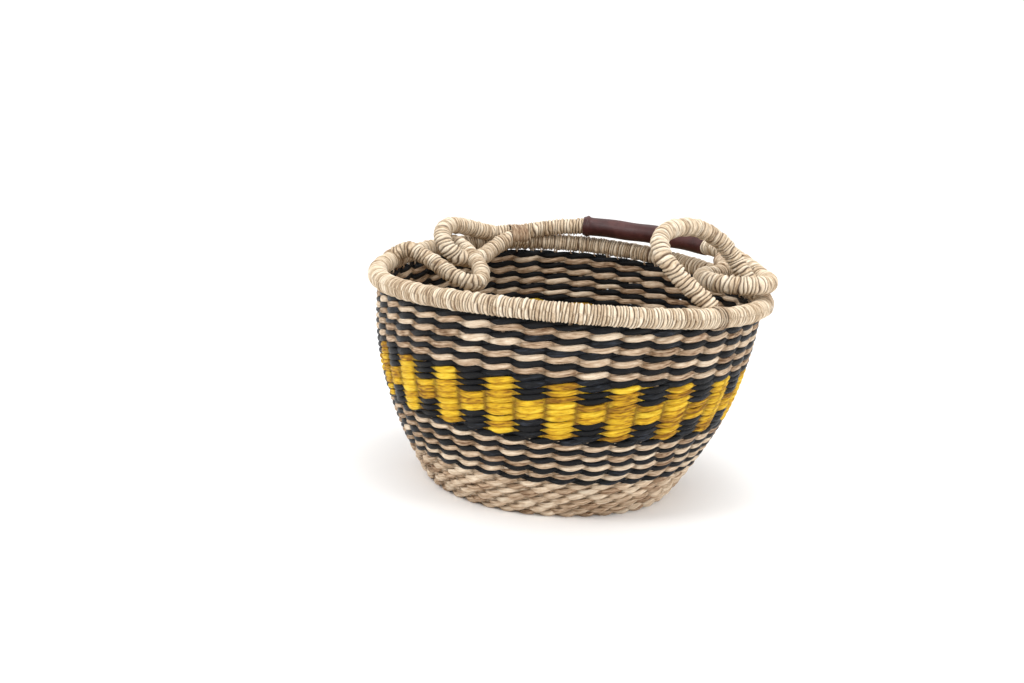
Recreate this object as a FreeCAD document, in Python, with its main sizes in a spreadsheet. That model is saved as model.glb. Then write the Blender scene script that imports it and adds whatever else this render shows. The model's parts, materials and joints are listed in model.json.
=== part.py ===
"""Seagrass storage basket with a folding bail handle.

Frame: +Z up, origin at the centre of the base on the floor. The rope ears stand on the -X and +X
sides of the rim and the bail handle is folded down over the +Y half of the rim. Millimetres.
"""

import FreeCAD, Part

import math
import os
import re

import Sketcher

DOCUMENT = FreeCAD.newDocument("seagrass_basket")
SHEET = DOCUMENT.addObject("Spreadsheet::Sheet", "sizes")
PARTS = []

# Driving dimensions in millimetres and degrees.
DIMENSIONS = {
    "foot_radius": 91.0,          # outer radius of the wall where it meets the floor
    "wall_flare": 52.0,           # how much wider the wall is at its top than at its foot
    "wall_height": 153.0,
    "flare_power": 0.84,          # how quickly the wall leaves the foot
    "strand_radius": 1.9,         # outer weft strands
    "outer_depth": 4.6,           # depth of the outer strands, measured level
    "stake_thickness": 1.3,
    "stake_angle": 2.6,           # angle that one stake spans round the axis
    "layer_gap": 0.15,
    "inner_thickness": 1.8,       # inner weft layer
    "level_base": 6.2,
    "level_natural": 31.8,        # top of the natural rows above the base
    "level_stripes": 67.7,        # top of the lower black and natural stripes
    "level_yellow": 109.1,        # top of the yellow band
    "level_rim": 150.0,           # top of the upper stripes
    "base_radius": 87.5,
    "base_layer": 2.2,            # thickness of each woven layer of the base
    "base_stake_half_width": 2.0,
    "rim_radius": 142.2,          # centre line of the rim rope
    "rim_height": 157.6,
    "rim_rope_radius": 6.75,
    "core_radius": 4.4,           # twisted core inside every wrapped rope
    "core_gap": 0.1,
    "lacing_radius": 0.9,
    "lacing_circle": 140.0,
    "lacing_low": 149.7,
    "lacing_length": 1.1,         # stops short of the rim rope's underside
    "lashing_radius": 7.8,
    "lashing_angle": 5.0,
    "ear_rope_radius": 6.0,
    "ear_half_width": 44.0,
    "ear_leg": 6.0,
    "ear_foot_x": 122.8,
    "ear_foot_z": 165.8,
    "left_lean": 108.0,           # inward from upright
    "right_lean": 36.0,
    "bail_radius": 137.0,
    "bail_rope_radius": 6.0,
    "bail_height": 174.0,
    "bail_start": 33.5,           # where the bail leaves each eye, measured from the X axis
    "binding_radius": 6.9,
    "binding_share": 0.84,        # how much of the way from the bail's end to the loop it covers
    "binding_angle": 7.0,
    "eye_rope_radius": 5.75,
    "right_eye_x": 117.6,
    "right_eye_y": 43.2,
    "right_eye_z": 170.4,
    "right_eye_tilt": 12.0,
    "right_eye_straight": 5.5,    # half the straight length of the loop
    "right_eye_half_width": 16.0,
    "left_eye_x": 113.5,
    "left_eye_y": 37.5,
    "left_eye_z": 161.7,
    "left_eye_tilt": 42.5,
    "left_eye_straight": 11.3,
    "left_eye_half_width": 19.1,
    "grip_radius": 7.6,
    "grip_start": 66.0,
    "grip_end": 115.5,
}
STAKE_COUNT = 40


def fill_sheet():
    """Write every driving dimension into the sheet under its own alias."""
    for row, (alias, value) in enumerate(DIMENSIONS.items(), start=1):
        SHEET.set(f"A{row}", alias)
        SHEET.set(f"B{row}", str(value))
        SHEET.setAlias(f"B{row}", alias)
    DOCUMENT.recompute()


def size(alias):
    """Value of one driving dimension."""
    return float(SHEET.get(alias))


def bind(item, **expressions):
    """Bind properties to sheet expressions; double underscores stand for dots."""
    for path, expression in expressions.items():
        named = re.sub(r"[a-z_]+", lambda word: in_sheet(word.group()), expression)
        item.setExpression(path.replace("__", "."), named)


def in_sheet(word):
    """A word of an expression, pointed at the sheet when it is an alias."""
    return f"sizes.{word}" if word in DIMENSIONS else word


def register(item, label):
    """Name a finished sub-part and remember it for export."""
    item.Label = label
    PARTS.append(item)
    return item


def wall_expression(height):
    """Outer radius of the wall at a height, both as sheet expressions."""
    return f"foot_radius + wall_flare * sin(90 deg * (({height}) / wall_height) ^ flare_power)"


def wall_radius(height):
    """Outer radius of the wall at a height in millimetres."""
    share = (height / size("wall_height")) ** size("flare_power")
    return size("foot_radius") + size("wall_flare") * math.sin(math.radians(90.0 * share))


def torus(name, radius, rope_radius, sweep="360"):
    """A rope ring, or a sector of one, about its own Z axis."""
    ring = DOCUMENT.addObject("Part::Torus", name)
    bind(ring, Radius1=radius, Radius2=rope_radius, Angle3=sweep)
    return ring


def turned_body(label, corners):
    """A PartDesign body turned about Z from (radius, height) corners given as expressions."""
    body = DOCUMENT.addObject("PartDesign::Body", label)
    sketch = body.newObject("Sketcher::SketchObject", label + "_outline")
    plane = [item for item in body.Origin.OriginFeatures if item.Role == "XZ_Plane"][0]
    sketch.AttachmentSupport = [(plane, "")]
    sketch.MapMode = "FlatFace"
    count = len(corners)
    start = [FreeCAD.Vector(50.0 + index, index * index, 0) for index in range(count)]
    for index in range(count):
        sketch.addGeometry(Part.LineSegment(start[index], start[(index + 1) % count]), False)
    for index in range(count):
        sketch.addConstraint(Sketcher.Constraint("Coincident", index, 2, (index + 1) % count, 1))
    for index, corner in enumerate(corners):
        for direction, expression in zip(("DistanceX", "DistanceY"), corner):
            constraint = Sketcher.Constraint(direction, -1, 1, index, 1, 50.0 + index)
            number = sketch.addConstraint(constraint)
            bind(sketch, **{f"Constraints[{number}]": expression})
    turn = body.newObject("PartDesign::Revolution", label + "_turn")
    turn.Profile = sketch
    turn.ReferenceAxis = (sketch, ["V_Axis"])
    turn.Angle = 360.0
    return register(body, label)


def weft_rows():
    """The 34 outer weft rows, one strand ring each, from under the rim down to the floor."""
    zones = (
        ("level_rim", "level_yellow", 9, ("black", "natural")),
        ("level_yellow", "level_stripes", 9, ("yellow",)),
        ("level_stripes", "level_natural", 9, ("black", "natural")),
        ("level_natural", "0", 7, ("natural",)),
    )
    number = 0
    for top, bottom, count, colours in zones:
        for index in range(count):
            number += 1
            label = f"weft_row_{number:02d}_{colours[index % len(colours)]}"
            height = f"{top} - ({top} - {bottom}) * {(index + 0.5) / count:.4f}"
            row = torus(label, f"{wall_expression(height)} - strand_radius", "strand_radius")
            bind(row, Placement__Base__z=height)
            register(row, label)


def inner_weave():
    """The inner face of the wall in its four colour zones."""
    levels = ("level_base", "level_natural", "level_stripes", "level_yellow", "level_rim")
    names = ("natural", "lower_stripes", "yellow", "upper_stripes")
    outside = "outer_depth + stake_thickness + 2 * layer_gap"
    inside = f"{outside} + inner_thickness"
    for name, low, high in zip(names, levels, levels[1:]):
        top = f"{high} - layer_gap"
        turned_body(f"inner_weave_{name}", (
            (f"{wall_expression(low)} - ({inside})", low),
            (f"{wall_expression(low)} - ({outside})", low),
            (f"{wall_expression(high)} - ({outside})", top),
            (f"{wall_expression(high)} - ({inside})", top),
        ))


def wall_stakes():
    """The upright stakes between the two layers of the wall, as one group of solids."""
    levels = ("level_base", "level_natural", "level_stripes", "level_yellow", "level_rim")
    outer = [(wall_radius(size(level)) - size("outer_depth") - size("layer_gap"), size(level))
             for level in levels]
    inner = [(radius - size("stake_thickness"), height) for radius, height in reversed(outer)]
    corners = [FreeCAD.Vector(radius, 0, height) for radius, height in outer + inner]
    outline = Part.Face(Part.makePolygon(corners + corners[:1]))
    stake = outline.revolve(FreeCAD.Vector(), FreeCAD.Vector(0, 0, 1), size("stake_angle"))
    group = DOCUMENT.addObject("Part::Feature", "wall_stakes")
    group.Shape = Part.makeCompound(turned_copies(stake, STAKE_COUNT))
    register(group, "wall_stakes")


def turned_copies(shape, count):
    """Copies of a shape, evenly spaced about the Z axis."""
    copies = []
    for index in range(count):
        copy = shape.copy()
        copy.rotate(FreeCAD.Vector(), FreeCAD.Vector(0, 0, 1), index * 360.0 / count)
        copies.append(copy)
    return copies


def disc(label, radius, low, thickness):
    """A round layer of the base."""
    layer = DOCUMENT.addObject("Part::Cylinder", label)
    bind(layer, Radius=radius, Height=thickness, Placement__Base__z=low)
    return register(layer, label)


def base():
    """Two woven layers of the base with the crossing stakes between them."""
    disc("base_underside", "base_radius", "0", "base_layer")
    disc("base_upper", "base_radius", "base_layer + stake_thickness + 2 * layer_gap", "base_layer")
    bars = []
    half_width = size("base_stake_half_width")
    length = size("base_radius") - 1.0
    low = size("base_layer") + size("layer_gap")
    for index in range(STAKE_COUNT // 4):
        corner = FreeCAD.Vector(-length, -half_width, low)
        bar = Part.makeBox(2 * length, 2 * half_width, size("stake_thickness"), corner)
        turn = index * 180.0 / (STAKE_COUNT // 4)
        bar.rotate(FreeCAD.Vector(), FreeCAD.Vector(0, 0, 1), turn)
        bars.append(bar)
    star = DOCUMENT.addObject("Part::Feature", "base_stakes")
    star.Shape = bars[0].multiFuse(bars[1:]).removeSplitter()
    register(star, "base_stakes")


def wrapped_tube(label, outer, bore):
    """The wrapping of a rope: its outer shape less the room for its core."""
    wrap = DOCUMENT.addObject("Part::Cut", label)
    wrap.Base = outer
    wrap.Tool = bore
    return register(wrap, label)


def rim():
    """The rim rope, its lacing to the top weft row and the lashings that hold the ears."""
    core = torus("rim_core", "rim_radius", "core_radius")
    outer = torus("rim_wrap_outer", "rim_radius", "rim_rope_radius")
    bore = torus("rim_wrap_bore", "rim_radius", "core_radius + core_gap")
    for ring in (core, outer, bore):
        bind(ring, Placement__Base__z="rim_height")
    register(core, "rim_core")
    wrapped_tube("rim_wrap", outer, bore)
    foot = FreeCAD.Vector(size("lacing_circle"), 0, size("lacing_low"))
    stitch = Part.makeCylinder(size("lacing_radius"), size("lacing_length"), foot)
    stitch.rotate(FreeCAD.Vector(), FreeCAD.Vector(0, 0, 1), 180.0 / STAKE_COUNT)
    lacing = DOCUMENT.addObject("Part::Feature", "rim_lacing")
    lacing.Shape = Part.makeCompound(turned_copies(stitch, STAKE_COUNT))
    register(lacing, "rim_lacing")


def lashings(side, middle_angle):
    """Two bands round the rim rope, one beside each foot of an ear."""
    half_spread = math.degrees(math.asin(size("ear_half_width") / size("rim_radius")))
    bands = []
    for offset in (-half_spread, half_spread):
        band = torus(f"{side}_lashing_band", "rim_radius", "lashing_radius", "lashing_angle")
        bore = torus(f"{side}_lashing_bore", "rim_radius", "rim_rope_radius + 0.02")
        shell = DOCUMENT.addObject("Part::Cut", f"{side}_lashing_shell")
        shell.Base = band
        shell.Tool = bore
        bind(shell, Placement__Base__z="rim_height")
        start = middle_angle + offset - size("lashing_angle") / 2.0
        shell.Placement.Rotation = FreeCAD.Rotation(FreeCAD.Vector(0, 0, 1), start)
        bands.append(shell)
    pair = DOCUMENT.addObject("Part::Compound", f"{side}_ear_lashings")
    pair.Links = bands
    register(pair, f"{side}_ear_lashings")


def arch(name, rope_radius):
    """An ear's rope shape, upright over the Y axis: two legs, a half ring and rounded feet."""
    bow = torus(name + "_bow", "ear_half_width", rope_radius, "180")
    bow.Placement.Rotation = FreeCAD.Rotation(FreeCAD.Vector(1, 1, 1), 120)
    bind(bow, Placement__Base__z="ear_leg")
    pieces = [bow]
    for sign in ("", "-"):
        leg = DOCUMENT.addObject("Part::Cylinder", name + "_leg")
        bind(leg, Radius=rope_radius, Height="ear_leg", Placement__Base__y=sign + "ear_half_width")
        foot = DOCUMENT.addObject("Part::Sphere", name + "_foot")
        bind(foot, Radius=rope_radius, Placement__Base__y=sign + "ear_half_width")
        pieces += [leg, foot]
    rope = DOCUMENT.addObject("Part::MultiFuse", name)
    rope.Shapes = pieces
    return rope


def ear(side, sign, lean):
    """One rope ear, leaning inward about the line through its feet."""
    core = arch(f"{side}_ear_core", "core_radius")
    outer = arch(f"{side}_ear_outer", "ear_rope_radius")
    bore = arch(f"{side}_ear_bore", "core_radius + core_gap")
    wrap = wrapped_tube(f"{side}_ear_wrap", outer, bore)
    register(core, f"{side}_ear_core")
    for piece in (core, wrap):
        piece.Placement.Rotation = FreeCAD.Rotation(FreeCAD.Vector(0, -sign, 0), size(lean))
        bind(piece, Placement__Base__z="ear_foot_z")
        bind(piece, Placement__Base__x=f"{sign} * ear_foot_x")


def bail_sector(name, rope_radius, start, end):
    """A stretch of the bail between two angles measured from the X axis."""
    stretch = torus(name, "bail_radius", rope_radius, f"({end}) - ({start})")
    stretch.Placement.Rotation = FreeCAD.Rotation(FreeCAD.Vector(0, 0, 1), 1.0)
    bind(stretch, Placement__Base__z="bail_height", Placement__Rotation__Angle=start)
    return stretch


def bail():
    """The bail's core, its two wrapped ends and its leather grip."""
    end = "180 - bail_start"
    register(bail_sector("bail_core", "core_radius", "bail_start", end), "bail_core")
    stretches = (
        ("bail_wrap_right", "bail_rope_radius", "core_radius", "bail_start", "grip_start"),
        ("bail_wrap_left", "bail_rope_radius", "core_radius", "grip_end", end),
        ("leather_grip", "grip_radius", "core_radius", "grip_start", "grip_end"),
    )
    for label, outer_radius, bore_radius, start, stop in stretches:
        outer = bail_sector(label + "_outer", outer_radius, start, stop)
        bore = bail_sector(label + "_bore", f"{bore_radius} + core_gap", start, stop)
        wrapped_tube(label, outer, bore)


def eye(side, sign):
    """The closed loop at one end of the bail that hangs round a leg of the ear."""
    straight = f"{side}_eye_straight"
    half_width = f"{side}_eye_half_width"
    pieces = []
    for direction in (1, -1):
        bow = torus(f"{side}_eye_bow", half_width, "eye_rope_radius", "180")
        bow.Placement.Rotation = FreeCAD.Rotation(FreeCAD.Vector(0, 0, 1), -90 * direction)
        bind(bow, Placement__Base__x=f"{direction} * {straight}")
        run = DOCUMENT.addObject("Part::Cylinder", f"{side}_eye_run")
        run.Placement.Rotation = FreeCAD.Rotation(FreeCAD.Vector(0, 1, 0), 90)
        bind(run, Radius="eye_rope_radius", Height=f"2 * {straight}",
             Placement__Base__x=f"-{straight}", Placement__Base__y=f"{direction} * {half_width}")
        pieces += [bow, run]
    loop = DOCUMENT.addObject("Part::MultiFuse", f"{side}_eye")
    loop.Shapes = pieces
    turn = FreeCAD.Rotation(FreeCAD.Vector(0, -sign, 0), size(f"{side}_eye_tilt"))
    loop.Placement.Rotation = turn
    bind(loop, Placement__Base__x=f"{sign} * {side}_eye_x", Placement__Base__y=f"{side}_eye_y",
         Placement__Base__z=f"{side}_eye_z")
    register(loop, f"{side}_eye")
    return loop


def eye_binding(side, sign, loop):
    """The thick winding that closes an eye: it runs from the end of the bail to the loop."""
    angle = math.radians(size("bail_start") + size("binding_angle"))
    start = FreeCAD.Vector(
        sign * size("bail_radius") * math.cos(angle),
        size("bail_radius") * math.sin(angle),
        size("bail_height"),
    )
    stop = FreeCAD.Vector(
        sign * size(f"{side}_eye_x"),
        size(f"{side}_eye_y") + size(f"{side}_eye_half_width"),
        size(f"{side}_eye_z"),
    )
    length = (stop - start).Length * size("binding_share")
    winding = Part.makeCylinder(size("binding_radius"), length, start, stop - start)
    rope = size("bail_rope_radius") + size("core_gap")
    bail_end = Part.makeTorus(size("bail_radius"), rope, FreeCAD.Vector(), FreeCAD.Vector(0, 0, 1),
                              0, 360, 180 - 2 * size("bail_start"))
    bail_end.Placement = FreeCAD.Placement(
        FreeCAD.Vector(0, 0, size("bail_height")),
        FreeCAD.Rotation(FreeCAD.Vector(0, 0, 1), size("bail_start")),
    )
    binding = DOCUMENT.addObject("Part::Feature", f"{side}_eye_binding")
    binding.Shape = largest_solid(winding.cut([bail_end, loop.Shape]))
    register(binding, f"{side}_eye_binding")


def largest_solid(shape):
    """The biggest solid of a shape that a cut has left in pieces."""
    return max(shape.Solids, key=lambda solid: solid.Volume)


def check_and_export():
    """Stop on any failed object or bad shape, then write one STEP file for each sub-part."""
    DOCUMENT.recompute()
    for item in DOCUMENT.Objects:
        if "Invalid" in item.State or "Error" in item.State:
            raise RuntimeError(f"{item.Label} did not recompute: {item.State}")
    os.makedirs("parts", exist_ok=True)
    for part in PARTS:
        if part.Shape.isNull() or not part.Shape.isValid():
            raise RuntimeError(f"{part.Label} has no valid shape")
        part.Shape.exportStep(f"parts/{part.Label}.step")
    print(f"{len(PARTS)} sub-parts written")


fill_sheet()
weft_rows()
inner_weave()
wall_stakes()
base()
rim()
lashings("right", 0.0)
lashings("left", 180.0)
ear("right", 1, "right_lean")
ear("left", -1, "left_lean")
bail()
right_loop = eye("right", 1)
left_loop = eye("left", -1)
DOCUMENT.recompute()
eye_binding("right", 1, right_loop)
eye_binding("left", -1, left_loop)
check_and_export()
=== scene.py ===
"""Looks of the seagrass storage basket: twined wall, wrapped ropes, leather grip, camera and light.

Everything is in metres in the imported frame: the basket stands on z = 0, its rope ears are on -X
and +X, and its bail handle is folded over the +Y half of the rim.
"""
import json
import math

import bpy
import numpy as np
from mathutils import Matrix, Vector


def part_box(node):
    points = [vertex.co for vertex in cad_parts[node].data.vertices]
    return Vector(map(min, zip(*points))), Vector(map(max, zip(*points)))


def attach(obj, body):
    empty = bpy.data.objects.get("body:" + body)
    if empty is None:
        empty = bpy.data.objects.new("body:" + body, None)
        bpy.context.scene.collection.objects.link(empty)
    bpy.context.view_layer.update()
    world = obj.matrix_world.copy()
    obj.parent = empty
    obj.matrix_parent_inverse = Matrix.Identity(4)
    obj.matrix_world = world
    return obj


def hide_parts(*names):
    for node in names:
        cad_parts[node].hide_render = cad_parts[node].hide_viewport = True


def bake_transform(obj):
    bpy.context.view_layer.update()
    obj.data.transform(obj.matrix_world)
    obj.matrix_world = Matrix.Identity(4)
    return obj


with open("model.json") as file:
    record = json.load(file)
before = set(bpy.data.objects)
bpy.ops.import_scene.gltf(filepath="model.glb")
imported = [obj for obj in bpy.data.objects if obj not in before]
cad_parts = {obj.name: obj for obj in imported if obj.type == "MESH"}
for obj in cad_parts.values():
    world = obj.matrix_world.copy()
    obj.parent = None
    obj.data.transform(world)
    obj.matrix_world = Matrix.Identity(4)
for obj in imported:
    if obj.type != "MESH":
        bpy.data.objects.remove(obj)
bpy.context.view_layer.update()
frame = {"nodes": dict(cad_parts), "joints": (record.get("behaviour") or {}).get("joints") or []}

MM = 0.001
TAU = 2.0 * math.pi

STAKES = 40                         # upright stakes in one turn of the wall
WEAVE_TURN = math.radians(-2.1)     # where the first stake stands, from the X axis
VIEW_AZIMUTH = math.radians(31.0)   # the main view's right-hand direction, from the X axis
RNG = np.random.default_rng(20)


# ---------------------------------------------------------------- sizes read from the frame

def node_box(name):
    """Lowest and highest corners of a CAD node as numpy arrays."""
    low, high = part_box(name)
    return np.array(low), np.array(high)


def node_middle(name):
    """Middle of a CAD node's box."""
    low, high = node_box(name)
    return (low + high) / 2


def half_size(name):
    """Half sizes of a CAD node's box."""
    low, high = node_box(name)
    return (high - low) / 2


def joint(name):
    """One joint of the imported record."""
    return [item for item in frame["joints"] if item["name"] == name][0]


ROW_NODES = sorted(name for name in frame["nodes"] if name.startswith("weft_row_"))
ROW_HEIGHTS = np.array([node_middle(name)[2] for name in ROW_NODES])
ROW_RADII = np.array([half_size(name)[0] for name in ROW_NODES])
RIM_ROPE = half_size("rim_wrap")[2]
RIM_HEIGHT = node_middle("rim_wrap")[2]
RIM_RADIUS = half_size("rim_wrap")[0] - RIM_ROPE
BASE_RADIUS = node_box("base_underside")[1][0]
BASE_TOP = node_box("base_upper")[1][2]
BAIL_ROPE = half_size("bail_wrap_right")[2]
BAIL_HEIGHT = node_middle("bail_wrap_right")[2]
GRIP_ROPE = half_size("leather_grip")[2]
BAIL_RADIUS = node_box("leather_grip")[1][1] - GRIP_ROPE
EAR_ROPE = 6.0 * MM
FLOOR_GAP = 0.2 * MM             # the lowest strands rest flat, just above the floor
SAG_DEPTH = 3.8 * MM             # half of how far the rim dips to the view's left and right
LEAN_DEPTH = 5.0 * MM            # how far the soft rim has slumped towards the view's right
WALL_INSET = 4.0 * MM            # from a row's outer face in to its stakes


def sag(angle, height):
    """How far the soft wall dips at an angle round the axis: it is lowest to the view's left and right."""
    share = np.clip(height / RIM_HEIGHT, 0.0, 1.0) ** 2
    return -SAG_DEPTH * share * (1.0 + np.cos(2.0 * (angle - VIEW_AZIMUTH)))


def bulge(angle, height):
    """Uneven radius of the hand-made wall."""
    share = np.clip(height / RIM_HEIGHT, 0.0, 1.0)
    wave = 0.5 * np.sin(3.0 * angle + 0.7) + 0.35 * np.sin(5.0 * angle + 2.1 + 9.0 * share)
    return MM * wave + LEAN_DEPTH * share * np.cos(angle - VIEW_AZIMUTH)


# ---------------------------------------------------------------- meshes

def add_mesh(name, rings, closed, attributes):
    """A tube mesh from an array of rings (ring, side, xyz) with point attributes, capped when open."""
    count, sides = rings.shape[:2]
    index = np.arange(count * sides).reshape(count, sides)
    following = np.roll(index, -1, axis=0) if closed else index[1:]
    current = index if closed else index[:-1]
    quads = np.stack([current, np.roll(current, -1, 1), np.roll(following, -1, 1), following], -1)
    faces = [tuple(face) for face in quads.reshape(-1, 4).tolist()]
    if not closed:
        faces.append(tuple(index[0][::-1].tolist()))
        faces.append(tuple(index[-1].tolist()))
    mesh = bpy.data.meshes.new(name)
    mesh.from_pydata(rings.reshape(-1, 3).tolist(), [], faces)
    for key, values in attributes.items():
        kind = "FLOAT_VECTOR" if values.ndim == 3 else "FLOAT"
        field = "vector" if values.ndim == 3 else "value"
        layer = mesh.attributes.new(key, kind, "POINT")
        layer.data.foreach_set(field, values.astype(np.float32).ravel())
    mesh.shade_smooth()
    piece = bpy.data.objects.new(name, mesh)
    bpy.context.collection.objects.link(piece)
    return piece


def joined(name, pieces):
    """Several tube pieces joined into one object."""
    bpy.ops.object.select_all(action="DESELECT")
    for piece in pieces:
        piece.select_set(True)
    bpy.context.view_layer.objects.active = pieces[0]
    if len(pieces) > 1:
        bpy.ops.object.join()
    whole = bpy.context.view_layer.objects.active
    whole.name = name
    whole.data.name = name
    return whole


def finish_piece(piece, material, body, slot, *nodes):
    """Give a piece its material and its body (none leaves it unattached), and hide the CAD nodes it stands
    for; `slot` is not used.
    """
    piece.data.materials.clear()
    piece.data.materials.append(material)
    if body:
        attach(piece, body)
    if nodes:
        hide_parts(*nodes)


def spline(points, step, closed=False):
    """Points every `step` along a Catmull-Rom curve through the given points, and its length."""
    per_span = 24
    points = np.array(points, float)
    count = len(points)
    if closed:
        padded = np.vstack([points[-1:], points, points[:2]])
        spans = count
    else:
        padded = np.vstack([2 * points[0] - points[1], points, 2 * points[-1] - points[-2]])
        spans = count - 1
    share = np.linspace(0.0, 1.0, per_span, endpoint=False)[:, None]
    dense = []
    for span in range(spans):
        p0, p1, p2, p3 = padded[span:span + 4]
        dense.append(0.5 * (2 * p1 + (p2 - p0) * share + (2 * p0 - 5 * p1 + 4 * p2 - p3) * share ** 2
                            + (3 * p1 - p0 - 3 * p2 + p3) * share ** 3))
    dense = np.vstack(dense + [points[:1] if closed else points[-1:]])
    lengths = np.concatenate([[0.0], np.cumsum(np.linalg.norm(np.diff(dense, axis=0), axis=1))])
    steps = max(8, int(round(lengths[-1] / step)))
    wanted = np.linspace(0.0, lengths[-1], steps + 1)
    if closed:
        wanted = wanted[:-1]
    return np.stack([np.interp(wanted, lengths, dense[:, axis]) for axis in range(3)], 1), lengths[-1]


def frames_along(path, closed):
    """Two unit vectors square to the path at each point, carried along it without twisting."""
    if closed:
        tangents = np.roll(path, -1, axis=0) - np.roll(path, 1, axis=0)
    else:
        tangents = np.gradient(path, axis=0)
    tangents /= np.linalg.norm(tangents, axis=1, keepdims=True)
    first = np.cross(tangents[0], (0.0, 0.0, 1.0))
    if np.linalg.norm(first) < 0.1:
        first = np.cross(tangents[0], (1.0, 0.0, 0.0))
    sides = []
    side = first / np.linalg.norm(first)
    for tangent in tangents:
        side = side - tangent * np.dot(side, tangent)
        side /= np.linalg.norm(side)
        sides.append(side)
    sides = np.array(sides)
    return sides, np.cross(tangents, sides)


def tube_rings(path, closed, angle, wide, tall):
    """Rings of an oval tube round a path; its half sizes may change along it and round it."""
    side, up = frames_along(path, closed)
    return (path[:, None] + side[:, None] * (np.cos(angle) * wide)[..., None]
            + up[:, None] * (np.sin(angle) * tall)[..., None])


WRAP_SIDES = 24                # vertices round a wrapped rope
WRAP_STEPS = 7                 # rings for each turn of the winding
WRAP_RELIEF = 1.3 * MM         # depth of the gaps between the turns
WRAP_WOBBLE = 0.25             # how far the turns wander, as a share of one turn
ROPE_END = 2.5 * MM            # length over which a cut end rounds off


def winding_phase(along, angle, turns):
    """Turns of winding passed at each point of a rope; the turns wander a little as they go."""
    phase = along + angle / TAU
    for _ in range(9):
        cycles = round(turns * RNG.uniform(0.03, 0.42))
        lobe = RNG.integers(0, 4)
        shift = RNG.uniform(0, TAU)
        phase = phase + WRAP_WOBBLE / 3.0 * np.sin(TAU * cycles * along / turns + lobe * angle + shift)
    return phase


def wrapped_rope(name, points, radius, pitch=2.6 * MM, closed=False):
    """A rope closely wound with seagrass: every turn of the winding is a raised, uneven ridge."""
    path, length = spline(points, pitch / WRAP_STEPS, closed)
    count = len(path)
    turns = max(1, int(round(length / pitch)))
    along = np.arange(count)[:, None] / count * turns
    angle = np.arange(WRAP_SIDES)[None, :] / WRAP_SIDES * TAU
    phase = winding_phase(along, angle, turns)
    strand = np.floor(phase).astype(int)
    across = phase - strand
    before = 16                    # turns that may wander past an open rope's start
    table = turns + 40
    key = np.mod(strand, turns) if closed else strand + before
    tone = RNG.random(table)[key]
    lift = np.clip(RNG.normal(0.0, 1.0, table), -1.6, 1.6)[key]
    slack = np.sin(angle + TAU * RNG.random(table)[key])
    skew = 0.3 * (tone - 0.5)
    ridge = np.clip(1.0 - np.abs(1.1 * (2.0 * across - 1.0 + skew)) ** 2.0, 0.0, 1.0) ** 0.6
    reach = radius - WRAP_RELIEF + WRAP_RELIEF * ridge + (0.20 * lift + 0.30 * slack) * MM * ridge
    if not closed:
        from_end = np.minimum(np.arange(count), np.arange(count)[::-1])[:, None] * length / count
        reach = reach * np.sqrt(np.clip(from_end / ROPE_END + 0.35, 0.0, 1.0))
    round_rope = radius / MM
    fibre = np.stack([np.sin(angle) * round_rope + key * 7.3, np.cos(angle) * round_rope + 0 * along,
                      across + key * 1.37], -1)
    # ridge shapes the turns and also sets where the material paints shade in the gaps.
    attributes = {"fibre": fibre, "tone": tone, "ridge": ridge}
    return add_mesh(name, tube_rings(path, closed, angle, reach, reach), closed, attributes)


def strand_tube(name, points, half_width, half_height, sides=8, step=1.2 * MM):
    """A single loose strand, tapering at its ends."""
    path, length = spline(points, step)
    count = len(path)
    angle = np.arange(sides)[None, :] / sides * TAU
    share = np.arange(count)[:, None] / max(1, count - 1)
    taper = np.sqrt(np.clip(np.minimum(share, 1 - share) * 6.0 + 0.08, 0.0, 1.0))
    rings = tube_rings(path, False, angle, half_width * taper, half_height * taper)
    along = share * length / MM + 0 * angle
    tone = np.full(rings.shape[:2], RNG.random())
    fibre = np.stack([along, np.sin(angle) + 0 * share, np.cos(angle) + tone * 90.0], -1)
    attributes = {"fibre": fibre, "tone": tone, "ridge": np.ones(rings.shape[:2]),
                  "dye": np.zeros(rings.shape[:2])}
    return add_mesh(name, rings, False, attributes)


# ---------------------------------------------------------------- twining

NATURAL, BLACK, YELLOW = 0.0, 1.0, 2.0
FIRST_YELLOW, FIRST_LOWER, FIRST_NATURAL = 9, 18, 27    # first rows of the zones below the top one
BLOCK_ROWS = (9, 10, 11, 15, 16, 17)                    # rows with yellow and black blocks
WALL_SWING = 1.7 * MM                                   # how far a strand swings in and out
WALL_STRAND = 1.7 * MM                                  # half of a strand's thickness


def stretch_tables(stakes):
    """Random tone, size and rise for each outer stretch of one strand."""
    tone = RNG.random(stakes)
    size = np.clip(RNG.normal(1.0, 0.13, stakes), 0.75, 1.25)
    rise = np.clip(RNG.normal(0.0, 0.3 * MM, stakes), -0.55 * MM, 0.55 * MM)
    return tone, size, rise


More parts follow.
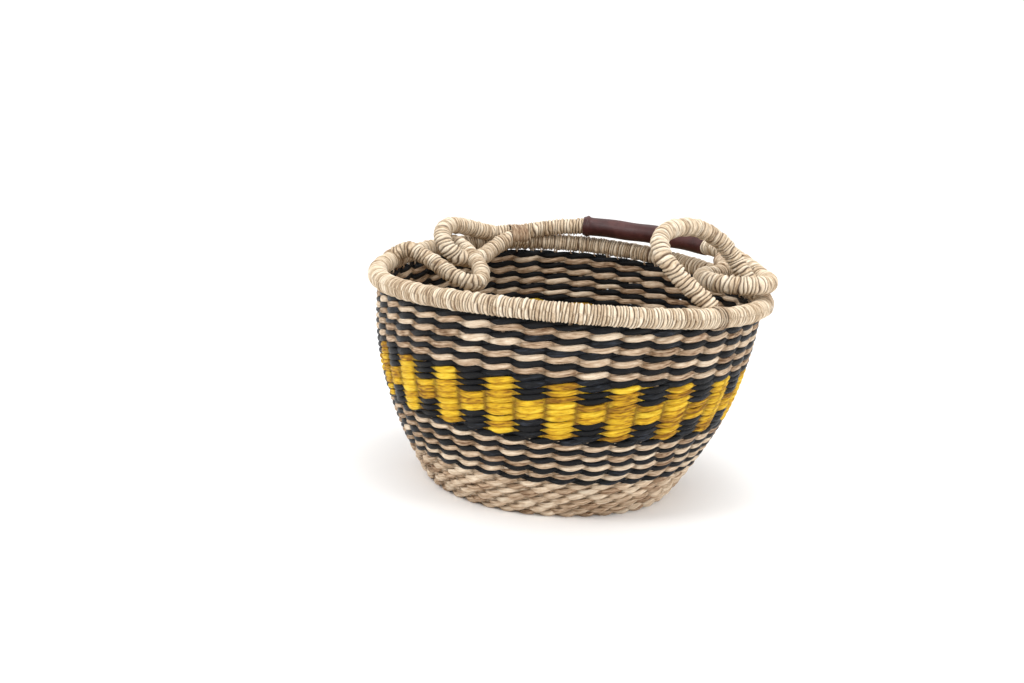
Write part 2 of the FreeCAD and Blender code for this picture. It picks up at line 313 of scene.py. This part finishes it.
def twined_strand(name, start, dye, stakes, radius, height, normal, pitch, swing, thickness,
                  soft=True, per_gap=10, sides=10):
    """One of the two strands of a twined row. It passes outside every second stake and inside the
    others, and rises a little each time it comes out, so its outer stretches look like lenses."""
    count = stakes * per_gap
    place = np.arange(count)[:, None] / per_gap
    turn = math.pi * (place + start)
    outward = np.cos(turn)
    cell = np.floor(place + start + 0.5).astype(int) % stakes
    tone, size, lift = (table[cell] for table in stretch_tables(stakes))
    full = np.abs(outward)
    tall = pitch * (0.32 + 0.25 * full ** 0.9) * (1.0 + (size - 1.0) * full)
    thick = thickness * (0.62 + 0.38 * full)
    lean = swing * outward
    rise = 0.30 * pitch * np.sin(turn) + lift * full
    section = np.arange(sides)[None, :] / sides * TAU
    angle = TAU * place / stakes + WEAVE_TURN
    radial = np.concatenate([np.cos(angle), np.sin(angle), 0 * angle], 1)[:, None]
    upright = np.array([0.0, 0.0, 1.0])
    out = radial * normal[0] + upright * normal[1]
    over = -radial * normal[1] + upright * normal[0]
    belly = np.cos(section) * np.abs(np.cos(section)) ** 0.25
    reach_out = lean + belly * thick
    reach_over = rise + np.sin(section) * tall
    if soft:
        radius = radius + bulge(angle, height)
        height = height + sag(angle, height)
    centre = radial * np.reshape(radius, (-1, 1, 1)) + upright * np.reshape(height, (-1, 1, 1))
    rings = centre + out * reach_out[..., None] + over * reach_over[..., None]
    rings[..., 2] = np.maximum(rings[..., 2], FLOOR_GAP)
    along = place * TAU * float(np.mean(radius)) / stakes / MM
    fibre = np.stack([along + 0 * section, np.sin(section) + 0 * along,
                      np.cos(section) + tone * 90.0], -1)
    edge = full + 0 * section
    # ridge is how far out the strand is; the material paints shade where it is low, at the crossings.
    attributes = {"fibre": fibre, "tone": tone + 0 * section, "ridge": edge,
                  "dye": dye + 0 * edge}
    return add_mesh(name, rings, True, attributes)


def neighbours(index):
    """Indices of the rows above and below a row."""
    return max(0, index - 1), min(len(ROW_HEIGHTS) - 1, index + 1)


def wall_normal(index):
    """Outward direction of the wall at a row, as (radial, upward) parts."""
    above, below = neighbours(index)
    flare = (ROW_RADII[above] - ROW_RADII[below]) / (ROW_HEIGHTS[above] - ROW_HEIGHTS[below])
    length = math.hypot(1.0, flare)
    return 1.0 / length, -flare / length


def row_pitch(index):
    """Distance between neighbouring rows along the wall."""
    above, below = neighbours(index)
    step = math.hypot(ROW_RADII[above] - ROW_RADII[below], ROW_HEIGHTS[above] - ROW_HEIGHTS[below])
    return step / (below - above)


def row_dyes(index):
    """Dyes of the two strands of a row, counted from 0 under the rim."""
    if index in BLOCK_ROWS:
        return YELLOW, BLACK
    name = ROW_NODES[index]
    dye = BLACK if "black" in name else YELLOW if "yellow" in name else NATURAL
    return dye, dye


def row_shift(index):
    """How far a row's stretches are moved round, in stake gaps: uneven outside the yellow band, and
    every second row by half a gap more where all strands are natural."""
    shift = 0.5 if index >= FIRST_LOWER else 0.0
    if index >= FIRST_NATURAL:
        shift += 0.5 * (index % 2)
    if not FIRST_YELLOW <= index < FIRST_LOWER:
        shift += RNG.uniform(-0.16, 0.16)
    return shift


def build_wall(material):
    """The 34 twined rows of the wall."""
    zone_nodes = {0: "inner_weave_upper_stripes", FIRST_YELLOW: "inner_weave_yellow",
                  FIRST_LOWER: "inner_weave_lower_stripes", FIRST_NATURAL: "inner_weave_natural"}
    slots = {NATURAL: "seagrass_natural", BLACK: "seagrass_black", YELLOW: "seagrass_yellow"}
    last_row_lift = 0.5 * MM
    for index, node in enumerate(ROW_NODES):
        normal = wall_normal(index)
        pitch = row_pitch(index)
        radius = ROW_RADII[index] - WALL_INSET * normal[0]
        height = ROW_HEIGHTS[index] + (last_row_lift if index == len(ROW_NODES) - 1 else 0.0)
        shift = row_shift(index)
        strands = []
        for start, dye in enumerate(row_dyes(index)):
            strands.append(twined_strand(f"strand_{start}", start + shift, dye, STAKES, radius,
                                         height, normal, pitch, WALL_SWING, WALL_STRAND))
        piece = joined(f"twined_row_{index + 1:02d}", strands)
        nodes = [node] + ([zone_nodes[index]] if index in zone_nodes else [])
        finish_piece(piece, material, "basket", slots[row_dyes(index)[0]], *nodes)


# How far from the base's middle every stake, every second stake and every fourth stake starts.
EVERY_START, SECOND_START, FOURTH_START = 45.0 * MM, 18.0 * MM, 3.0 * MM


def build_base(material):
    """The twined base: rings of the same weave, over fewer stakes towards the middle."""
    pitch = 4.7 * MM
    swing = 1.35 * MM
    half_thick = 1.5 * MM
    downward = (0.0, -1.0)
    rows = []
    radius = BASE_RADIUS - pitch * 0.4
    while radius > 0.6 * pitch:
        stakes = (STAKES if radius > EVERY_START else STAKES // 2 if radius > SECOND_START
                  else STAKES // 4)
        for start in (0, 1):
            rows.append(twined_strand("base_strand", start, NATURAL, stakes, radius, BASE_TOP / 2,
                                      downward, pitch, swing, half_thick, soft=False, per_gap=8))
        radius -= pitch
    piece = joined("twined_base", rows)
    finish_piece(piece, material, "basket", "seagrass_natural", "base_underside", "base_upper")


def build_stakes(material):
    """The stakes: from the middle of the base, round its edge and up the wall into the rim."""
    stakes = []
    for index in range(STAKES):
        angle = TAU * index / STAKES + WEAVE_TURN
        first = FOURTH_START if index % 4 == 0 else SECOND_START if index % 2 == 0 else EVERY_START
        outline = [(first, BASE_TOP / 2), (BASE_RADIUS * 0.7, BASE_TOP / 2),
                   (BASE_RADIUS - 2.0 * MM, BASE_TOP / 2 + 0.3 * MM)]
        for row in range(len(ROW_NODES) - 2, -1, -4):
            outline.append((ROW_RADII[row] - WALL_INSET + float(bulge(angle, ROW_HEIGHTS[row])),
                            ROW_HEIGHTS[row] + float(sag(angle, ROW_HEIGHTS[row]))))
        outline.append((RIM_RADIUS - 3.5 * MM, RIM_HEIGHT - 3.0 * MM + float(sag(angle, RIM_HEIGHT))))
        points = [(r * math.cos(angle), r * math.sin(angle), z) for r, z in outline]
        stakes.append(strand_tube("stake", points, half_width=2.0 * MM, half_height=0.9 * MM,
                                  step=4.0 * MM, sides=6))
    piece = joined("stakes", stakes)
    finish_piece(piece, material, "basket", "stake_cane", "wall_stakes", "base_stakes")


# ---------------------------------------------------------------- rim

def rim_point(angle, outward=0.0, upward=0.0):
    """A point near the rim's centre line."""
    radius = RIM_RADIUS + float(bulge(angle, RIM_HEIGHT)) + outward
    height = RIM_HEIGHT + float(sag(angle, RIM_HEIGHT)) + upward
    return (radius * math.cos(angle), radius * math.sin(angle), height)


def build_rim(rope_material, strand_material):
    """The wrapped rim rope and the stitches that lace it to the top row."""
    corners = 60
    points = [rim_point(TAU * step / corners) for step in range(corners)]
    rope = wrapped_rope("rim_rope", points, RIM_ROPE + 0.2 * MM, pitch=2.1 * MM, closed=True)
    finish_piece(rope, rope_material, "basket", "seagrass_rope", "rim_wrap", "rim_core")
    stitches = []
    stitch_count = STAKES * 2
    top = ROW_HEIGHTS[0] - RIM_HEIGHT
    for index in range(stitch_count):
        angle = TAU * (index + RNG.uniform(0.1, 0.5)) / stitch_count
        points = [rim_point(angle, 1.0 * MM, -5.2 * MM),
                  rim_point(angle + 0.008, -1.6 * MM, top + 3.0 * MM),
                  rim_point(angle + 0.016, -3.0 * MM, top + 1.6 * MM),
                  rim_point(angle + 0.022, -5.0 * MM, top + 2.4 * MM),
                  rim_point(angle + 0.026, -5.0 * MM, -4.0 * MM)]
        stitches.append(strand_tube("stitch", points, 0.75 * MM, 0.45 * MM, sides=6))
    piece = joined("rim_stitches", stitches)
    finish_piece(piece, strand_material, "basket", "seagrass_rope", "rim_lacing")


def build_lashings(side, outline, strand_material):
    """Flat bands wound slantwise round the rim at the feet of an ear."""
    bands = []
    reach = RIM_ROPE + 0.9 * MM
    band_turn = 2.6 * MM / RIM_RADIUS
    slant_turn = 2.2 * MM / RIM_RADIUS
    steps = 12
    feet = ear_points(side, (outline[0], outline[-1]))
    for direction, foot in zip((-1, 1), feet):
        for turn in range(3):
            start = math.atan2(foot[1], foot[0]) + (turn - 1) * band_turn
            points = []
            for step in range(steps + 1):
                swing = TAU * step / steps
                slant = start + direction * slant_turn * math.sin(swing / 2)
                points.append(rim_point(slant, reach * math.cos(swing), reach * math.sin(swing)))
            bands.append(strand_tube("band", points, 1.5 * MM, 0.5 * MM, sides=8))
    piece = joined(f"{side}_lashing_bands", bands)
    finish_piece(piece, strand_material, "basket", "seagrass_rope", f"{side}_ear_lashings")


# ---------------------------------------------------------------- ears

# Outline of each ear in its own plane, in millimetres: along the rim, away from the rim, and out of
# the plane. The limp left ear droops and slumps towards one foot; the right one stands in a wide arch.
RIGHT_EAR = ((-30, -15, 8), (-36, 4, 3), (-41, 19, 0), (-42, 32, -2), (-35, 43, -3), (-20, 49, -3),
             (0, 50, -2), (20, 47, -1), (37, 39, 0), (49, 27, 0), (54, 12, 0), (52, -16, 5))
LEFT_EAR = ((-37, -5, -14), (-31, 4, -5), (-28, 16, -5), (-28, 31, -5), (-28, 46, -6), (-24, 58, -6),
            (-14, 62, -6), (0, 54, -5), (15, 38, -5), (24, 22, -5), (29, 8, -5), (31, -6, -9))


def ear_points(side, outline):
    """Points of an ear's outline in the frame, leaning as the ear does at rest."""
    hinge = joint(f"{side}_ear_lift")
    foot = np.array(hinge["pos_m"])
    lean = math.radians(hinge["range_deg"][1])
    inward = -math.copysign(1.0, foot[0])
    up = np.array([inward * math.sin(lean), 0.0, math.cos(lean)])
    out = np.array([-inward * math.cos(lean), 0.0, math.sin(lean)])
    along = np.array([0.0, 1.0, 0.0])
    return [foot + MM * (along * a + up * b + out * c) for a, b, c in outline]


def frayed_foot(foot, inner):
    """Short broken fibres at a foot's cut end; `inner` is the next point up the ear."""
    away = foot - inner
    away /= np.linalg.norm(away)
    fibres = []
    for _ in range(26):
        spread = RNG.normal(0.0, 1.0, 3)
        spread -= away * np.dot(spread, away)
        spread *= RNG.uniform(0.4, 3.6) * MM / np.linalg.norm(spread)
        start = foot - away * 1.5 * MM + spread
        tip = start + away * RNG.uniform(1.0, 3.2) * MM + spread * RNG.uniform(0.0, 0.35)
        fibres.append(strand_tube("fray", [start, (start + tip) / 2, tip], half_width=0.45 * MM,
                                  half_height=0.3 * MM, sides=5, step=0.8 * MM))
    return fibres


def build_ear(side, outline, rope_material, fray_material):
    """One wrapped ear with its frayed feet."""
    points = ear_points(side, outline)
    rope = wrapped_rope(f"{side}_ear_rope", points, EAR_ROPE + 0.4 * MM, pitch=2.9 * MM)
    finish_piece(rope, rope_material, None, "seagrass_rope", f"{side}_ear_wrap",
                 f"{side}_ear_core")
    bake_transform(rope)
    fibres = frayed_foot(points[0], points[1]) + frayed_foot(points[-1], points[-2])
    fray = joined(f"{side}_ear_fray", fibres)
    finish_piece(fray, fray_material, "basket", "core_fibre")


# ---------------------------------------------------------------- handle

def bail_point(degrees, inward=0.0, upward=0.0):
    """A point near the bail's centre line, by its angle from the X axis."""
    angle = math.radians(degrees)
    radius = BAIL_RADIUS - inward * MM
    return (radius * math.cos(angle), radius * math.sin(angle), BAIL_HEIGHT + upward * MM)


# Each eye in its own plane, in millimetres from the loop's middle: outward from the basket, along
# +Y, and square to the loop. It starts on the standing part; its tail runs back along that part.
RIGHT_EYE = ((8, 28, -3), (18, 18, -4), (24, 4, -4), (21, -10, -4), (9, -20, -4), (-8, -20, -4),
             (-20, -11, -4), (-24, 2, -4), (-21, 16, -4))
LEFT_EYE = ((3, 38, 0), (8, 22, 0), (14, 5, 0), (16, -12, 0), (10, -27, 0), (-3, -33, 0),
            (-14, -27, 0), (-18, -12, 0), (-17, 4, 0), (-13, 18, 0))
EYE_TILTS = {"right": math.radians(2.0), "left": math.radians(42.5)}


def eye_points(side, outline, tilt):
    """Points of an eye's outline in the frame."""
    middle = node_middle(f"{side}_eye")
    outward = np.array([math.copysign(1.0, middle[0]) * math.cos(tilt), 0.0, math.sin(tilt)])
    along = np.array([0.0, 1.0, 0.0])
    square = np.cross(outward, along)
    if square[2] < 0:
        square = -square
    return [middle + MM * (outward * a + along * b + square * c) for a, b, c in outline]


def bound_band(centre, path, across):
    """Points of one slanting turn of a binding, an oval round two ropes that lie side by side."""
    up = np.cross(across, path)
    wide = BAIL_ROPE + 7.6 * MM
    tall = BAIL_ROPE + 1.6 * MM
    slant = 1.3 * MM
    steps = 16
    points = []
    for step in range(steps + 1):
        swing = TAU * step / steps
        points.append(centre + across * wide * math.cos(swing) + up * tall * math.sin(swing)
                      + path * slant * step / steps)
    return points


def eye_binding(side, middle, turn_way, material):
    """Five bands side by side that hold an eye's tail against its standing part."""
    middle = np.array(middle)
    across = np.array((middle[0], middle[1], 0.0))
    across /= np.linalg.norm(across)
    path = np.array((-across[1], across[0], 0.0)) * turn_way
    bands = []
    for turn in range(5):
        centre = middle + path * (turn - 2.0) * 2.7 * MM
        bands.append(strand_tube("band", bound_band(centre, path, across), half_width=1.4 * MM,
                                 half_height=0.6 * MM))
    binding = joined(f"{side}_eye_bands", bands)
    finish_piece(binding, material, "handle", "seagrass_rope", f"{side}_eye_binding")


def build_bail(rope_material, strand_material):
    """The bail's two wrapped stretches, each running on into its closed eye, and the bindings."""
    right = [bail_point(67.5), bail_point(58), bail_point(49, 0, -1), bail_point(41, -1, -3)]
    right_tail = [bail_point(40, 13, -4), bail_point(48, 12.5, -2.5)]
    left = [bail_point(114), bail_point(123, 0, -2.5), bail_point(131, 0, -6), bail_point(139, 0, -9)]
    left_tail = [bail_point(143, 12.5, -13), bail_point(135, 12.5, -10)]
    ends = (("right", right, RIGHT_EYE, right_tail, bail_point(44, 6, -3), -1),
            ("left", left, LEFT_EYE, left_tail, bail_point(139, 6, -10), 1))
    for side, start, outline, tail, middle, turn_way in ends:
        loop = eye_points(side, outline, EYE_TILTS[side])
        rope = wrapped_rope(f"{side}_bail_rope", start + loop + tail, BAIL_ROPE + 0.8 * MM)
        finish_piece(rope, rope_material, "handle", "seagrass_rope", f"bail_wrap_{side}",
                     f"{side}_eye", *(["bail_core"] if side == "right" else []))
        eye_binding(side, middle, turn_way, strand_material)


def grip_reach(share, angle):
    """The sleeve's radius: soft waves, a raised bead near its left end, a seam and rounded edges."""
    bead_place, bead_width = 0.965, 0.014
    seam_angle, seam_width = 4.4, 0.12
    edge = np.minimum(share, 1.0 - share)
    reach = GRIP_ROPE - 0.5 * MM + 0.5 * MM * np.sqrt(np.clip(edge / 0.012, 0.0, 1.0))
    reach = reach + 0.35 * MM * np.sin(share * 19.0 + np.sin(angle)) * np.sin(share * math.pi)
    reach = reach + 1.3 * MM * np.exp(-((share - bead_place) / bead_width) ** 2)
    reach = reach - 0.5 * MM * np.exp(-((angle - seam_angle) / seam_width) ** 2)
    return reach * np.sqrt(np.clip(edge / 0.004 + 0.25, 0.0, 1.0))


def build_grip(material):
    """The leather sleeve over the middle of the bail."""
    low, high = node_box("leather_grip")
    start = math.degrees(math.acos(high[0] / (BAIL_RADIUS + GRIP_ROPE)))
    stop = math.degrees(math.acos(low[0] / (BAIL_RADIUS + GRIP_ROPE)))
    path = np.array([bail_point(value) for value in np.linspace(start, stop, 200)])
    sides = 32
    share = np.linspace(0.0, 1.0, len(path))[:, None]
    angle = np.arange(sides)[None, :] / sides * TAU
    reach = grip_reach(share, angle)
    fibre = np.stack([share * 140.0 + 0 * angle, np.sin(angle) + 0 * share,
                      np.cos(angle) + 0 * share], -1)
    piece = add_mesh("grip_sleeve", tube_rings(path, False, angle, reach, reach), False,
                     {"fibre": fibre})
    finish_piece(piece, material, "handle", "grip_leather", "leather_grip")


# ---------------------------------------------------------------- materials

class Nodes:
    """Small helper that adds and links shader nodes in one material."""

    def __init__(self, name):
        self.material = bpy.data.materials.new(name)
        self.material.use_nodes = True
        self.tree = self.material.node_tree
        self.shader = self.tree.nodes["Principled BSDF"]

    def add(self, kind, settings=(), **inputs):
        """A node with settings and inputs; an input is a number, a colour or another socket."""
        node = self.tree.nodes.new(kind)
        for key, value in dict(settings).items():
            setattr(node, key, value)
        for key, value in inputs.items():
            self.join(value, node.inputs[int(key[1:]) if key[1:].isdigit() else key])
        return node

    def join(self, value, socket):
        """Link a socket, or set a plain value."""
        if isinstance(value, bpy.types.NodeSocket):
            self.tree.links.new(value, socket)
        else:
            socket.default_value = value

    def attribute(self, name, output="Fac"):
        """Output of a mesh attribute."""
        return self.add("ShaderNodeAttribute", {"attribute_name": name}).outputs[output]

    def maths(self, operation, *values):
        """A math node's result."""
        inputs = {f"i{index}": value for index, value in enumerate(values)}
        return self.add("ShaderNodeMath", {"operation": operation}, **inputs).outputs[0]

    def ramp(self, value, *stops):
        """A colour ramp's colour; each stop is (place, colour)."""
        node = self.add("ShaderNodeValToRGB", Fac=value)
        elements = node.color_ramp.elements
        while len(elements) < len(stops):
            elements.new(0.5)
        for element, (place, colour) in zip(elements, stops):
            element.position = place
            element.color = (*colour, 1.0)
        return node.outputs["Color"]

    def mix(self, share, first, second):
        """Two colours mixed."""
        node = self.add("ShaderNodeMix", {"data_type": "RGBA"})
        self.join(share, node.inputs["Factor"])
        self.join(first if isinstance(first, bpy.types.NodeSocket) else (*first, 1.0), node.inputs["A"])
        self.join(second if isinstance(second, bpy.types.NodeSocket) else (*second, 1.0),
                  node.inputs["B"])
        return node.outputs["Result"]

    def noise(self, vector, scale, detail=4.0, rough=0.55):
        """Noise value on stretched fibre coordinates."""
        scaled = self.add("ShaderNodeVectorMath", {"operation": "MULTIPLY"}, i0=vector, i1=scale)
        node = self.add("ShaderNodeTexNoise", Vector=scaled.outputs[0], Scale=1.0, Detail=detail,
                        Roughness=rough)
        return node.outputs["Fac"]

    def bump(self, height, strength, distance):
        """Bump normal from a height value."""
        node = self.add("ShaderNodeBump", Height=height, Strength=strength, Distance=distance)
        return node.outputs["Normal"]


def seagrass_strand(name):
    """Dry twisted grass, natural, black or yellow by the strand's dye, with painted shade at the crossings
    and painted bluish glints on the black.
    """
    n = Nodes(name)
    fibre = n.attribute("fibre", "Vector")
    tone = n.attribute("tone")
    dye = n.attribute("dye")
    ridge = n.attribute("ridge")
    streak = n.noise(fibre, (0.14, 2.0, 2.0))
    fine = n.noise(fibre, (0.45, 6.0, 6.0), 3.0, 0.6)
    blotch = n.noise(fibre, (0.06, 0.4, 0.4), 2.0)
    value = n.maths("ADD", n.maths("MULTIPLY", streak, 0.75), n.maths("MULTIPLY", tone, 0.25))
    natural = n.ramp(value, (0.30, (0.15, 0.080, 0.040)), (0.41, (0.38, 0.255, 0.160)),
                     (0.53, (0.58, 0.435, 0.300)), (0.68, (0.77, 0.640, 0.485)))
    yellow = n.ramp(value, (0.34, (0.20, 0.085, 0.006)), (0.45, (0.47, 0.245, 0.012)),
                    (0.57, (0.68, 0.415, 0.018)), (0.72, (0.82, 0.590, 0.055)))
    # The black dye is near-black; the lightest, bluish stop is a painted glint along the streaks.
    black = n.ramp(value, (0.35, (0.0015, 0.0015, 0.002)), (0.60, (0.005, 0.0055, 0.007)),
                   (0.78, (0.030, 0.036, 0.050)))
    is_black = n.maths("COMPARE", dye, 1.0, 0.4)
    is_yellow = n.maths("COMPARE", dye, 2.0, 0.4)
    colour = n.mix(is_yellow, natural, yellow)
    speck = n.maths("GREATER_THAN", fine, 0.66)
    colour = n.mix(n.maths("MULTIPLY", speck, 0.35), colour, (0.16, 0.08, 0.03))
    # Painted shade: the strand is darkened to brown where it passes in between the stakes at the
    # crossings, where shade falls.
    painted_crossing_shade = n.maths("SUBTRACT", 1.0, n.ramp(ridge, (0.0, (0, 0, 0)), (0.55, (1, 1, 1))))
    colour = n.mix(n.maths("MULTIPLY", painted_crossing_shade, 0.55), colour, (0.13, 0.065, 0.02))
    colour = n.mix(is_black, colour, black)
    shade = n.maths("MULTIPLY_ADD", blotch, 0.5, 0.74)
    shaded = n.add("ShaderNodeVectorMath", {"operation": "SCALE"}, i0=colour, Scale=shade)
    n.join(shaded.outputs[0], n.shader.inputs["Base Color"])
    rough = n.maths("SUBTRACT", n.maths("MULTIPLY_ADD", fine, 0.25, 0.50),
                    n.maths("MULTIPLY", is_black, 0.27))
    n.shader.inputs["Specular IOR Level"].default_value = 0.17
    n.join(rough, n.shader.inputs["Roughness"])
    relief = n.maths("ADD", n.maths("MULTIPLY", streak, 0.7), n.maths("MULTIPLY", fine, 0.5))
    n.join(n.bump(relief, 0.9, 0.0012), n.shader.inputs["Normal"])
    return n.material


def wrapping(name):
    """The pale grass wound round the ropes, with painted shade darkening it to brown down in the gaps
    between its turns.
    """
    n = Nodes(name)
    fibre = n.attribute("fibre", "Vector")
    tone = n.attribute("tone")
    ridge = n.attribute("ridge")
    streak = n.noise(fibre, (0.22, 0.22, 3.6))
    fine = n.noise(fibre, (0.8, 0.8, 13.0), 3.0, 0.6)
    value = n.maths("ADD", n.maths("MULTIPLY", streak, 0.74), n.maths("MULTIPLY", tone, 0.26))
    colour = n.ramp(value, (0.28, (0.28, 0.180, 0.100)), (0.40, (0.53, 0.400, 0.265)),
                    (0.53, (0.71, 0.575, 0.415)), (0.68, (0.87, 0.760, 0.600)))
    n.shader.inputs["Specular IOR Level"].default_value = 0.3
    # Painted shade: the colour goes dark brown down in the gaps between the turns, where shade falls.
    painted_gap_shade = n.ramp(ridge, (0.0, (1.0, 1.0, 1.0)), (0.55, (0.45, 0.45, 0.45)), (0.86, (0.0, 0.0, 0.0)))
    colour = n.mix(n.maths("MULTIPLY", painted_gap_shade, 0.92), colour, (0.085, 0.042, 0.020))
    n.join(colour, n.shader.inputs["Base Color"])
    n.join(n.maths("MULTIPLY_ADD", fine, 0.25, 0.48), n.shader.inputs["Roughness"])
    relief = n.maths("ADD", n.maths("MULTIPLY", streak, 0.6), n.maths("MULTIPLY", fine, 0.6))
    n.join(n.bump(relief, 0.85, 0.0008), n.shader.inputs["Normal"])
    return n.material


def leather(name):
    """Dark reddish-brown leather with fine grain, soft creases and a dull shine."""
    n = Nodes(name)
    place = n.add("ShaderNodeTexCoord").outputs["Object"]
    fibre = n.attribute("fibre", "Vector")
    grain = n.add("ShaderNodeTexVoronoi", Vector=place, Scale=900.0).outputs["Distance"]
    cloud = n.add("ShaderNodeTexNoise", Vector=place, Scale=60.0, Detail=5.0).outputs["Fac"]
    crease = n.noise(fibre, (0.16, 1.2, 1.2), 5.0, 0.65)
    value = n.maths("ADD", n.maths("MULTIPLY", cloud, 0.6), n.maths("MULTIPLY", crease, 0.4))
    colour = n.ramp(value, (0.25, (0.020, 0.006, 0.006)), (0.5, (0.055, 0.015, 0.014)),
                    (0.75, (0.105, 0.034, 0.030)))
    n.shader.inputs["Specular IOR Level"].default_value = 0.35
    n.join(colour, n.shader.inputs["Base Color"])
    n.join(n.maths("MULTIPLY_ADD", cloud, 0.3, 0.26), n.shader.inputs["Roughness"])
    relief = n.maths("ADD", n.maths("MULTIPLY", grain, 0.35), n.maths("MULTIPLY", crease, 0.8))
    n.join(n.bump(relief, 0.35, 0.0008), n.shader.inputs["Normal"])
    return n.material


def frayed(name):
    """Brown cut fibre ends."""
    n = Nodes(name)
    tone = n.attribute("tone")
    colour = n.ramp(tone, (0.0, (0.10, 0.035, 0.015)), (0.6, (0.24, 0.10, 0.045)),
                    (1.0, (0.50, 0.32, 0.16)))
    n.join(colour, n.shader.inputs["Base Color"])
    n.shader.inputs["Roughness"].default_value = 0.8
    return n.material


# ---------------------------------------------------------------- stage, light and camera

def build_floor():
    """A wide, flat, pale floor."""
    mesh = bpy.data.meshes.new("floor")
    half = 6.0
    mesh.from_pydata([(-half, -half, 0), (half, -half, 0), (half, half, 0), (-half, half, 0)], [],
                     [(0, 1, 2, 3)])
    floor = bpy.data.objects.new("floor", mesh)
    bpy.context.collection.objects.link(floor)
    n = Nodes("floor_white")
    grain = n.add("ShaderNodeTexNoise", Scale=3.0, Detail=2.0).outputs["Fac"]
    n.join(n.ramp(grain, (0.0, (0.92, 0.92, 0.92)), (1.0, (0.95, 0.95, 0.95))),
           n.shader.inputs["Base Color"])
    n.shader.inputs["Roughness"].default_value = 0.9
    mesh.materials.append(n.material)


def area_light(name, place, aim, size, power):
    """A soft square light."""
    data = bpy.data.lights.new(name, "AREA")
    data.shape = "SQUARE"
    data.size = size
    data.energy = power
    light = bpy.data.objects.new(name, data)
    bpy.context.collection.objects.link(light)
    light.location = place
    light.rotation_euler = (Vector(aim) - Vector(place)).to_track_quat("-Z", "Y").to_euler()


def toward_view(right, near, height):
    """A place given as seen from the camera: to its right, towards it, and up."""
    right_axis = Vector((math.cos(VIEW_AZIMUTH), math.sin(VIEW_AZIMUTH), 0.0))
    near_axis = Vector((math.sin(VIEW_AZIMUTH), -math.cos(VIEW_AZIMUTH), 0.0))
    return right_axis * right + near_axis * near + Vector((0.0, 0.0, height))


def build_light():
    """Bright even studio light with the main soft box up on the left, shown without a film curve."""
    bpy.context.scene.view_settings.view_transform = "Standard"
    world = bpy.data.worlds.new("studio")
    bpy.context.scene.world = world
    world.use_nodes = True
    background = world.node_tree.nodes["Background"]
    background.inputs["Color"].default_value = (1.0, 1.0, 1.0, 1.0)
    background.inputs["Strength"].default_value = 1.08
    middle = (0.0, 0.0, 0.08)
    area_light("key", toward_view(-0.9, 0.9, 1.2), middle, 0.5, 9.5)
    area_light("top", toward_view(0.1, 0.1, 1.5), middle, 0.8, 8.0)
    area_light("side", toward_view(1.1, 0.5, 0.6), middle, 0.5, 4.0)


def build_camera():
    """The camera: a little above the rim, turned to the front between the two ears."""
    data = bpy.data.cameras.new("camera")
    data.sensor_width = 36.0
    data.lens = 48.4
    camera = bpy.data.objects.new("camera", data)
    bpy.context.collection.objects.link(camera)
    distance = 1.040
    elevation = math.radians(14.48)
    focus_height = 0.080
    aim_right, aim_up = -0.034, 0.0222
    tilt = math.radians(4.3)
    place = toward_view(0.0, distance * math.cos(elevation), focus_height + distance * math.sin(elevation))
    aim = toward_view(aim_right, 0.0, focus_height + aim_up)
    look = (aim - place).to_track_quat("-Z", "Y").to_matrix().to_4x4()
    roll = Matrix.Rotation(tilt, 4, "Z")
    camera.matrix_world = Matrix.Translation(place) @ look @ roll
    bpy.context.scene.camera = camera


def build_basket():
    """Every piece of the basket."""
    strand = seagrass_strand("seagrass_strand")
    rope = wrapping("seagrass_wrapping")
    fray = frayed("frayed_ends")
    build_wall(strand)
    build_base(strand)
    build_stakes(strand)
    build_rim(rope, strand)
    for side, outline in (("right", RIGHT_EAR), ("left", LEFT_EAR)):
        build_lashings(side, outline, strand)
        build_ear(side, outline, rope, fray)
    build_bail(rope, strand)
    build_grip(leather("grip_leather"))


build_camera()
build_basket()
build_floor()
build_light()
